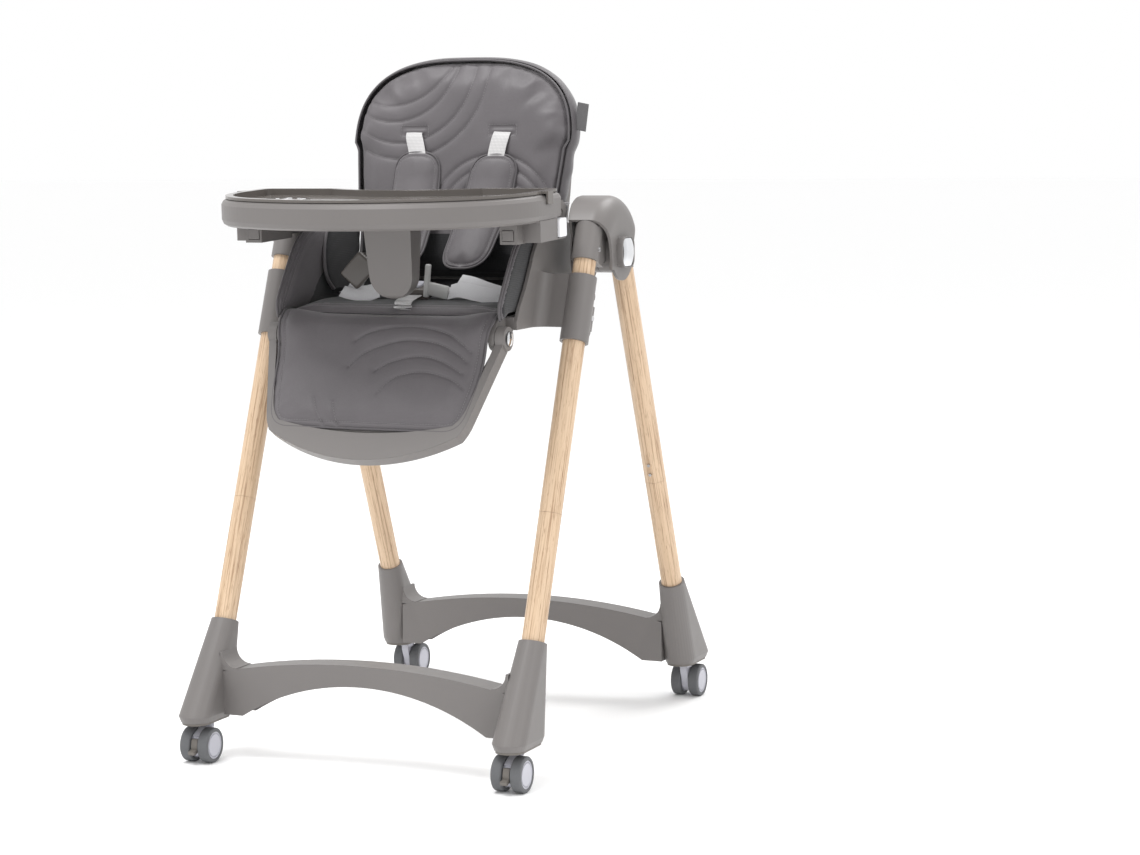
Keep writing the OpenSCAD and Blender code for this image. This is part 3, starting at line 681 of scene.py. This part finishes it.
def back_skirt():
    """The side of the cover: from the front seam, round the edge of the shell, to a hem behind it."""
    edge = back_edge(0, low=0.060, count=150)
    tangent = np.gradient(edge, axis=0)
    out = np.stack([tangent[:, 1], -tangent[:, 0]], 1)
    out /= np.linalg.norm(out, axis=1)[:, None]
    run = np.linspace(0, 1, len(edge))
    # (n, outward) across the skirt, from the front seam to the hem behind the shell
    across = [
        (0.0135, -0.0005), (0.008, 0.0035), (0.0, 0.0045), (-0.009, 0.003), (-0.017, 0.000),
        (-0.0215, -0.005), (-0.0222, -0.013), (-0.0205, -0.0135)
    ]
    verts = []
    for i, (p, o) in enumerate(zip(edge, out)):
        slack = 0.25 + 0.9 * max(0, 1 - abs(run[i] - 0.13) / 0.16) + 0.35 * max(
            0, 1 - abs(run[i] - 0.87) / 0.12
        )
        for j, (n, off) in enumerate(across):
            t = j / (len(across) - 1)
            wave = math.sin(run[i] * 61 + 4 * t) + 0.6 * math.sin(
                run[i] * 113 - 7 * t
            ) + 0.4 * math.sin(run[i] * 29 + 9 * t)
            puff = 0.0013 * slack * wave * math.sin(math.pi * t)
            hug = smoothstep(min(run[i], 1 - run[i]), 0.0, 0.12)
            q = p + o * ((off + puff) * hug - 0.002 * (1 - hug))
            verts.append((q[0], q[1], n))
    k = len(across)
    faces = [
        (i * k + j, i * k + j + 1, (i + 1) * k + j + 1, (i + 1) * k + j) for i in range(len(edge) - 1)
        for j in range(k - 1)
    ]
    o = mesh_object("back_skirt", on_plane(BACK)(np.array(verts)), faces, BINDING)
    sub = o.modifiers.new("smooth", "SUBSURF")
    sub.levels = sub.render_levels = 2
    apply_modifiers(o)
    thick = o.modifiers.new("thick", "SOLIDIFY")
    thick.thickness, thick.offset = 0.0009, 0
    apply_modifiers(o)
    o.data.shade_smooth()
    return o


skirt = back_skirt()
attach(skirt, "backrest")

piping_line = to_world(BACK, back_edge(0.0035, low=0.03, count=160), 0.0185)
back_piping = sweep("back_piping", piping_line, ring(0.0016), BACK_OUT, BINDING)
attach(back_piping, "backrest")


# ---------- seat, flap and side wings ----------


def rounded(points, radius, steps=6):
    """A closed outline with its corners rounded to a radius (one number, or one for each corner)."""
    p = [np.array(q, float) for q in points]
    radii = [radius] * len(p) if np.isscalar(radius) else radius
    out = []
    for i, r in enumerate(radii):
        a, b, c = p[i - 1], p[i], p[(i + 1) % len(p)]
        ab, cb = a - b, c - b
        r = min(r, 0.45 * np.linalg.norm(ab), 0.45 * np.linalg.norm(cb))
        start, end = b + ab / np.linalg.norm(ab) * r, b + cb / np.linalg.norm(cb) * r
        for t in np.linspace(0, 1, steps + 1):
            out.append((1 - t) ** 2 * start + 2 * t * (1 - t) * b + t**2 * end)
    return np.array(out)


def inset_line(points, inset, closed=True):
    """A line moved inwards by inset; the points run anticlockwise."""
    p = np.asarray(points, float)
    t = (np.roll(p, -1, 0) - np.roll(p, 1, 0)) if closed else np.gradient(p, axis=0)
    t /= np.maximum(np.linalg.norm(t, axis=1), 1e-9)[:, None]
    return p + np.stack([-t[:, 1], t[:, 0]], 1) * inset


def resampled(points, step=0.004, closed=False):
    p = np.asarray(points, float)
    if closed:
        p = np.concatenate([p, p[:1]])
    run = np.concatenate([[0], np.cumsum(np.linalg.norm(np.diff(p, axis=0), axis=1))])
    s = np.linspace(0, run[-1], max(3, int(run[-1] / step)))
    return np.stack([np.interp(s, run, p[:, i]) for i in range(p.shape[1])], 1)


def lay_seat(co):
    rise = np.interp(co[:, 1], [-0.2, -0.13, -0.012], [0, 0.0055, 0.006]) * np.clip(co[:, 2] / 0.009, 0, 1)
    return np.stack([co[:, 0], co[:, 1] + Y0, 0.6325 + co[:, 2] + rise], 1)


seat_outline = rounded([(-0.163, -0.197), (0.163, -0.197), (0.163, -0.014), (-0.163, -0.014)], 0.012)
seat_seam = resampled([(-0.15, -0.179), (0.15, -0.179)])
# The rear of the seat gets the black lining: partly real lining, partly painted shade in the shadowed interior.
seat_pad = pad(
    "seat_pad", seat_outline, 0.0, 0.0085, voxel=0.0045, cap=0.004, grooves=[groove_along(seat_seam)],
    depth=0.0018, lay=lay_seat, lined_or_shaded=lambda p: p[:, 1] > -0.172
)
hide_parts("seat_cushion")
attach(seat_pad, "seat_unit")
UP = Vector((0, 0, 1))
seat_line = np.column_stack([seat_seam[:, 0], seat_seam[:, 1] + Y0, np.full(len(seat_seam), 0.645)])
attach(stitches("seat_stitching", [seat_line], surface_drop(seat_pad, UP)), "seat_unit")

FLAP_BEND, FLAP_RADIUS = 0.014, 0.020


def lay_flap(co):
    """The flap lies on the footrest and, above FLAP_BEND, rolls back over the front of the seat."""
    over = np.clip(co[:, 1] - FLAP_BEND, 0, None) / FLAP_RADIUS
    swell_out = np.exp(-(((co[:, 1] - 0.002) / 0.030) ** 2)) * (
        0.003 + 0.0115 * smoothstep(np.abs(co[:, 0]), 0.10, 0.158)
    )
    radius = FLAP_RADIUS + co[:, 2] + swell_out
    along = np.minimum(co[:, 1], FLAP_BEND) + radius * np.sin(over)
    out = radius * np.cos(over) - FLAP_RADIUS
    return on_plane(FOOTREST)(np.stack([co[:, 0], along, out], 1))


FLAP_OUTLINE = rounded(
    [
        (-0.147, -0.149), (0.147, -0.149), (0.159, -0.09), (0.164, -0.01), (0.171, 0.031), (-0.171, 0.031),
        (-0.164, -0.01), (-0.159, -0.09)
    ],
    [0.062, 0.062, 0.06, 0.05, 0.004, 0.004, 0.05, 0.06],
    9,
)
FLAP_ARCS = [
    curve_through(
        [
            (-0.041, -0.016), (-0.022, -0.003), (0.016, 0.006), (0.057, 0.007), (0.099, -0.002),
            (0.123, -0.016), (0.142, -0.030)
        ],
        60
    ),
    curve_through(
        [
            (-0.044, -0.056), (-0.023, -0.034), (0.012, -0.019), (0.048, -0.013), (0.089, -0.018),
            (0.119, -0.031), (0.138, -0.045)
        ],
        60
    ),
    curve_through(
        [(0.0, -0.061), (0.019, -0.048), (0.049, -0.039), (0.075, -0.038), (0.104, -0.046), (0.134, -0.062)],
        50
    ),
    curve_through(
        [
            (0.011, -0.095), (0.025, -0.076), (0.047, -0.065), (0.075, -0.061), (0.103, -0.066),
            (0.123, -0.073), (0.140, -0.084)
        ],
        50
    ),
    curve_through([(-0.086, -0.106), (-0.076, -0.128), (-0.066, -0.143)], 20),
    curve_through([(-0.055, -0.110), (-0.049, -0.128), (-0.044, -0.143)], 20),
]
flap_border = resampled(inset_line(FLAP_OUTLINE, 0.0105), closed=True)
flap_border = flap_border[flap_border[:, 1] < 0.02]
start = int(np.argmax(np.linalg.norm(np.diff(flap_border, axis=0), axis=1))) + 1
flap_border = np.concatenate([flap_border[start:], flap_border[:start]])
flap_pad = pad(
    "flap_pad",
    FLAP_OUTLINE,
    0.0036,
    0.0112,
    voxel=0.0042,
    cap=0.0045,
    pressure=4.5,
    grooves=[groove_along(a) for a in FLAP_ARCS] + [groove_along(flap_border)],
    depth=0.0026,
    lay=lay_flap,
)
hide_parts("footrest_flap")
REST_OUT = FOOTREST.to_3x3() @ Vector((0, -1, 0))
drop_on_flap = surface_drop(flap_pad, REST_OUT)
flap_lines = [lay_flap(np.column_stack([a, np.full(len(a), 0.012)])) for a in FLAP_ARCS + [flap_border]]
flap_threads = stitches("flap_stitching", flap_lines, drop_on_flap)
flap_rim = resampled(FLAP_OUTLINE, closed=True)
flap_rim = flap_rim[flap_rim[:, 1] < 0.028]
start = int(np.argmax(np.linalg.norm(np.diff(flap_rim, axis=0), axis=1))) + 1
flap_rim = np.concatenate([flap_rim[start:], flap_rim[:start]])
rim_line = lay_flap(np.column_stack([inset_line(flap_rim, 0.0004, False), np.full(len(flap_rim), 0.0085)]))
flap_piping = sweep("flap_piping", rim_line, ring(0.0017), REST_OUT, BINDING)
for piece in (flap_pad, flap_threads, flap_piping):
    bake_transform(piece)

WING_FRONT = [
    (-0.2125, 0.6285), (-0.2155, 0.641), (-0.2135, 0.654), (-0.201, 0.674), (-0.181, 0.702), (-0.163, 0.725),
    (-0.141, 0.744), (-0.118, 0.757), (-0.088, 0.766), (-0.05, 0.770), (-0.014, 0.773), (0.02, 0.776)
]
wing_edge = curve_through(WING_FRONT, 60)
wing_outline = np.concatenate(
    [wing_edge[::-1], [(-0.208, 0.6275), (-0.190, 0.638), (-0.014, 0.638), (0.02, 0.66)]]
)


def lay_wing(side):
    def lay(co):
        return np.stack([side * (0.1805 - co[:, 2]), co[:, 0] + Y0, co[:, 1]], 1)

    return lay


def outward(o):
    """Turns every face's normal to the outside."""
    bm = bmesh.new()
    bm.from_mesh(o.data)
    bmesh.ops.recalc_face_normals(bm, faces=bm.faces)
    bm.to_mesh(o.data)
    bm.free()
    return o


wing_reach = groove_along(wing_edge, 0.12)

for side, word in ((1, "left"), (-1, "right")):
    seam = inset_line(wing_edge, -0.011, False)[3:-2]
    second = inset_line(wing_edge, -0.0165, False)[4:-2]
    # Black lining: real on the wing's outer face, painted shade over the rear of its inner face.
    wing = pad(
        f"wing_{word}", wing_outline, 0.0, 0.0095, voxel=0.0045, cap=0.004,
        grooves=[groove_along(seam), groove_along(second)], depth=0.0016, lay=lay_wing(side),
        lined_or_shaded=lambda p: (wing_reach(p) > 0.078) | ((p[:, 2] < 0.003) & (wing_reach(p) > 0.004))
    )
    outward(wing)
    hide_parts("side_wings")
    inward = Vector((-side, 0, 0))
    drop = surface_drop(wing, inward)
    lines = [lay_wing(side)(np.column_stack([s, np.full(len(s), 0.012)])) for s in (seam, second)]
    threads = stitches(f"wing_stitching_{word}", lines, drop)
    rim = lay_wing(side)(np.column_stack([wing_edge, np.full(len(wing_edge), 0.0055)]))
    piping = sweep(f"wing_piping_{word}", rim, ring(0.0021), inward, BINDING)
    for piece in (wing, threads, piping):
        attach(piece, "seat_unit")


def hip_bolster(side, word):
    """A black panel beside the seat, bound in grey, that comes forward from the foot of the backrest."""
    edge = curve_through(
        [
            (0.045, 0.783), (-0.012, 0.781), (-0.040, 0.774), (-0.064, 0.758), (-0.083, 0.733),
            (-0.092, 0.703), (-0.089, 0.678), (-0.072, 0.660)
        ],
        50
    )
    outline = np.concatenate([edge[::-1], [(0.010, 0.660)]])[::-1]

    def lay(co):
        lean = (co[:, 1] - 0.660) * 0.10
        return np.stack([side * (0.162 + lean - co[:, 2]), co[:, 0] + Y0, co[:, 1]], 1)

    panel = pad(
        f"hip_bolster_{word}", outline, 0.0, 0.007, voxel=0.005, cap=0.004, lay=lay,
        lined_or_shaded=lambda p: p[:, 2] > -1
    )
    outward(panel)
    piping = sweep(
        f"hip_piping_{word}", lay(np.column_stack([edge, np.full(len(edge), 0.004)])), ring(0.0026),
        (-side, 0, 0), MATERIALS["leatherette"]
    )
    for piece in (panel, piping):
        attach(piece, "backrest")


hip_bolster(1, "left")
hip_bolster(-1, "right")


def lay_gusset(co):
    """The black strip that rises from the back of the seat to the foot of the backrest."""
    bend = np.clip(co[:, 1] / 0.055, 0, 1) * 1.25
    radius = 0.044 - co[:, 2]
    return np.stack([co[:, 0], -0.026 + radius * np.sin(bend) + Y0, 0.686 - radius * np.cos(bend)], 1)


gusset = pad(
    "seat_gusset", rounded([(-0.150, 0.0), (0.150, 0.0), (0.150, 0.055), (-0.150, 0.055)], 0.004), 0.0, 0.003,
    voxel=0.003, cap=0.002, lay=lay_gusset, lined_or_shaded=lambda p: p[:, 2] > -1
)
outward(gusset)
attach(gusset, "seat_unit")


# ---------- harness ----------


def in_back(points):
    """(x, height up the back, out of it) points in the row frame."""
    return on_plane(BACK)(np.asarray(points, float))


PAD_SHAPE = rounded(
    [(-0.036, 0.0), (0.036, 0.0), (0.039, 0.10), (0.036, 0.178), (-0.036, 0.178), (-0.039, 0.10)],
    [0.034, 0.034, 0.08, 0.03, 0.03, 0.08], 8
)
PAD_LINES = {1: ((0.067, 0.203), (0.040, 0.027)), -1: ((-0.061, 0.207), (-0.064, 0.030))}


def lay_shoulder_pad(side):
    """Along the back from its top, coming forward to the waist."""
    (x1, v1), (x0, v0) = PAD_LINES[side]

    def lay(co):
        t = co[:, 1] / 0.178
        v = v0 + (v1 - v0) * t
        forward = 0.0285 + 0.040 * np.clip(1 - t / 0.8, 0, 1) ** 1.6
        round_off = 0.10 * co[:, 0] ** 2 / 0.036
        return in_back(np.stack([x0 + (x1 - x0) * t + co[:, 0], v, forward + co[:, 2] - round_off], 1))

    return lay


pad_seam = resampled(inset_line(PAD_SHAPE, 0.0065), 0.003, closed=True)
pads = []
for side, word in ((1, "left"), (-1, "right")):
    lay = lay_shoulder_pad(side)
    shoulder = pad(
        f"shoulder_pad_{word}", PAD_SHAPE, 0.0, 0.010, voxel=0.004, cap=0.0045,
        grooves=[groove_along(pad_seam)], depth=0.0018, lay=lay
    )
    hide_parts("shoulder_pads")
    drop = surface_drop(shoulder, BACK_OUT)
    threads = stitches(
        f"shoulder_stitching_{word}", [lay(np.column_stack([pad_seam, np.full(len(pad_seam), 0.014)]))], drop
    )
    rim = lay(
        np.column_stack(
            [
                resampled(PAD_SHAPE, 0.003, closed=True),
                np.full(len(resampled(PAD_SHAPE, 0.003, closed=True)), 0.005)
            ]
        )
    )
    piping = sweep(f"shoulder_piping_{word}", rim[:-1], ring(0.0017), BACK_OUT, BINDING, closed=True)
    (x1, v1), (x0, v0) = PAD_LINES[side]
    top = [
        (side * 0.072, 0.2415, 0.014), (side * 0.072, 0.2400, 0.0235), (side * 0.0715, 0.2330, 0.0300),
        (x1 + (side * 0.0715 - x1) * 0.4, 0.216, 0.0330), (x1, v1 - 0.006, 0.0345), (x1, v1 - 0.02, 0.0345)
    ]
    strap = sweep(
        f"shoulder_strap_{word}", in_back(curve_through(top, 36)), strap_section(0.027, 0.0013), BACK_OUT,
        MATERIALS["webbing"]
    )
    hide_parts("shoulder_straps")
    for piece in (shoulder, threads, piping, strap):
        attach(piece, "backrest")


def rounded_box(name, size, radius, material, at, turn=(0, 0, 0)):
    bm = bmesh.new()
    bmesh.ops.create_cube(bm, size=1)
    bmesh.ops.scale(bm, vec=size, verts=bm.verts)
    bmesh.ops.bevel(bm, geom=bm.edges[:], offset=radius, segments=4, profile=0.5, affect="EDGES")
    turned = Matrix.Translation(
        Vector(at) + Vector((0, Y0, 0))
    ) @ Matrix.Rotation(turn[2], 4, "Z") @ Matrix.Rotation(turn[1], 4, "Y") @ Matrix.Rotation(turn[0], 4, "X")
    bmesh.ops.transform(bm, matrix=turned, verts=bm.verts)
    mesh = bpy.data.meshes.new(name)
    bm.to_mesh(mesh)
    bm.free()
    mesh.materials.append(material)
    mesh.shade_smooth()
    o = bpy.data.objects.new(name, mesh)
    bpy.context.scene.collection.objects.link(o)
    return o


def ribbon(name, points, width, thick, up, material):
    """A strap through points given with y from the folding pivots."""
    path = curve_through(np.asarray(points, float) + (0, Y0, 0), 40)
    o = sweep(name, path, strap_section(width, thick), up, material)
    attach(o, "seat_unit")
    return o


TAUPE_PARTS = MATERIALS["dark_plastic"]
shell = rounded_box(
    "buckle_shell", (0.050, 0.040, 0.017), 0.005, TAUPE_PARTS, (0.0, -0.112, 0.662), (0.25, 0, 0)
)
button = rounded_box(
    "buckle_button", (0.020, 0.022, 0.006), 0.0025, MATERIALS["pale_plastic"], (0.0, -0.114, 0.671),
    (0.25, 0, 0)
)
tongue = rounded_box(
    "buckle_tongue", (0.036, 0.011, 0.046), 0.0042, TAUPE_PARTS, (-0.086, -0.130, 0.692), (0.1, 0.75, 0.2)
)
adjuster = rounded_box(
    "strap_adjuster", (0.007, 0.010, 0.048), 0.0024, CLEAR, (0.024, -0.130, 0.678), (0, 0.1, 0)
)
slider = rounded_box(
    "strap_slider", (0.034, 0.006, 0.020), 0.0022, CLEAR, (0.040, -0.128, 0.664), (0.2, 0.2, 0)
)
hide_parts("buckle")
for piece, slot_name in (
    (shell, "dark_plastic"), (button, "pale_plastic"), (tongue, "dark_plastic"), (adjuster, "pale_plastic"),
    (slider, "pale_plastic")
):
    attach(piece, "seat_unit")

lap_left = ribbon(
    "lap_strap_left",
    [(0.160, -0.030, 0.655), (0.130, -0.070, 0.660), (0.085, -0.105, 0.664), (0.028, -0.114, 0.662)], 0.024,
    0.0014, (0, -0.35, 1), MATERIALS["webbing"]
)
lap_right = ribbon(
    "lap_strap_right",
    [(-0.160, -0.030, 0.655), (-0.130, -0.070, 0.660), (-0.085, -0.105, 0.664), (-0.028, -0.114, 0.662)],
    0.024, 0.0014, (0, -0.35, 1), MATERIALS["webbing"]
)
crotch = ribbon(
    "crotch_strap",
    [(0.012, -0.186, 0.640), (0.012, -0.184, 0.651), (0.010, -0.165, 0.655), (0.004, -0.135, 0.657)], 0.026,
    0.0014, (0, 0, 1), MATERIALS["webbing"]
)
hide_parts("lap_belts")
label_left = ribbon(
    "label_right",
    [(-0.110, -0.138, 0.662), (-0.092, -0.141, 0.658), (-0.068, -0.140, 0.656), (-0.050, -0.136, 0.661)],
    0.019, 0.0006, (0, -0.8, 0.6), LABEL
)
label_back = ribbon(
    "label_right_fold", [(-0.104, -0.130, 0.668), (-0.080, -0.133, 0.663), (-0.056, -0.130, 0.668)], 0.016,
    0.0006, (0, -0.8, 0.6), LABEL
)
label_far = ribbon(
    "label_left",
    [(0.058, -0.128, 0.662), (0.080, -0.137, 0.666), (0.110, -0.139, 0.661), (0.142, -0.132, 0.655)], 0.024,
    0.0006, (0, -0.85, 0.5), LABEL
)
label_fold = ribbon(
    "label_left_fold",
    [(0.072, -0.122, 0.680), (0.095, -0.130, 0.677), (0.120, -0.130, 0.669), (0.144, -0.124, 0.662)], 0.018,
    0.0006, (0, -0.8, 0.6), LABEL
)


# ---------- small trim ----------


def back_tag():
    """A plain woven tag, folded out of the seam of the back."""
    corners = np.array(
        [(0.1790, 0.286, 0.004), (0.1975, 0.282, 0.006), (0.1955, 0.241, 0.006), (0.1770, 0.245, 0.004)]
    )
    thick = np.array([0, 0, 0.0012])
    verts = in_back(np.concatenate([corners + thick, corners - thick]))
    faces = [(3, 2, 1, 0), (4, 5, 6, 7), (0, 1, 5, 4), (1, 2, 6, 5), (2, 3, 7, 6), (3, 0, 4, 7)]
    o = mesh_object(
        "side_tag", verts, faces, woven("tag_cloth", (0.10, 0.097, 0.10), 0.0006, 0.6), smooth=False
    )
    bevel = o.modifiers.new("bevel", "BEVEL")
    bevel.width, bevel.segments = 0.0008, 2
    apply_modifiers(o)
    outward(o)
    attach(o, "backrest")


back_tag()


def tray_marks():
    """Raised light decoration at the child's right end of the serving tray: a star and a ring of dots."""
    insert_low, insert_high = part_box("tray_insert")
    lift = JOINTS["serving_tray_lift"]["axis"]
    normal = Vector(lift).normalized()
    across = Vector((1, 0, 0))
    back = normal.cross(across)
    centre = Vector((-0.150, -0.240 + Y0, 0.0))
    verts, faces = [], []

    def plate(points):
        base = len(verts)
        for h in (0, 0.0006):
            for x, y in points:
                p = centre + across * x + back * y
                z = tray_floor(p)
                verts.append(Vector((p.x, p.y, z)) + normal * h)
        k = len(points)
        faces.append(tuple(range(base + k, base + 2 * k)))
        faces.extend((base + i, base + (i + 1) % k, base + k + (i + 1) % k, base + k + i) for i in range(k))

    def tray_floor(p):
        hit, _, _, _ = tree.ray_cast(Vector((p.x, p.y, insert_high.z + 0.02)), Vector((0, 0, -1)), 0.1)
        return (hit.z if hit else insert_low.z) + 0.0002

    dg = bpy.context.evaluated_depsgraph_get()
    source = frame["nodes"]["tray_insert"]
    world = [source.matrix_world @ v.co for v in source.data.vertices]
    tree = BVHTree.FromPolygons(world, [tuple(f.vertices) for f in source.data.polygons])
    star = [
        (r * math.sin(i * math.pi / 5), r * math.cos(i * math.pi / 5)) for i in range(10)
        for r in [0.017 if i % 2 == 0 else 0.0085]
    ]
    plate(star)
    for i in range(11):
        a = 2 * math.pi * i / 11
        r = 0.0042 if i % 2 else 0.0028
        plate(
            [
                (0.030 * math.cos(a) + r * math.cos(q), 0.030 * math.sin(a) + r * math.sin(q))
                for q in np.linspace(0, 2 * math.pi, 14, endpoint=False)
            ]
        )
    o = mesh_object("tray_decoration", verts, faces, WHITE, smooth=False)
    outward(o)
    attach(o, "serving_tray")


tray_marks()


# ---------- finish: floor, lights, camera ----------


def studio():
    floor = mesh_object(
        "floor", [(-30, -30, 0), (30, -30, 0), (30, 30, 0), (-30, 30, 0)], [(0, 1, 2, 3)],
        new_material("pale_floor", (0.99, 0.99, 0.99), 0.8)[0]
    )
    world = bpy.data.worlds.new("studio")
    bpy.context.scene.world = world
    world.use_nodes = True
    background = world.node_tree.nodes["Background"]
    background.inputs["Color"].default_value = (1, 1, 1, 1)
    background.inputs["Strength"].default_value = 1.0
    lights = [
        ("key", (-0.6, -1.2, 3.6), 1.5, 72),
        ("fill", (2.8, -1.2, 2.0), 1.4, 10),
        ("back", (0.9, 1.8, 3.2), 1.5, 42),
    ]
    for name, place, size, power in lights:
        data = bpy.data.lights.new(name, "AREA")
        data.size, data.energy = size, power
        light = bpy.data.objects.new(name, data)
        light.location = place
        light.rotation_euler = (Vector((0, 0, 0.55)) - Vector(place)).to_track_quat("-Z", "Y").to_euler()
        bpy.context.scene.collection.objects.link(light)


def camera():
    bpy.context.scene.view_settings.view_transform = "Standard"
    data = bpy.data.cameras.new("camera")
    data.sensor_width = 36
    data.lens = 88.72
    data.shift_x, data.shift_y = 0.0854, -0.0488
    cam = bpy.data.objects.new("camera", data)
    place = Vector((1.7832, -3.7493 + Y0, 0.9214))
    target = Vector((0.0223, 0.02335 + Y0, 0.5329))
    look = (target - place).to_track_quat("-Z", "Y")
    cam.matrix_world = Matrix.Translation(place) @ look.to_matrix().to_4x4() @ Matrix.Rotation(
        math.radians(-0.80), 4, "Z"
    )
    bpy.context.scene.collection.objects.link(cam)
    bpy.context.scene.camera = cam


studio()
camera()
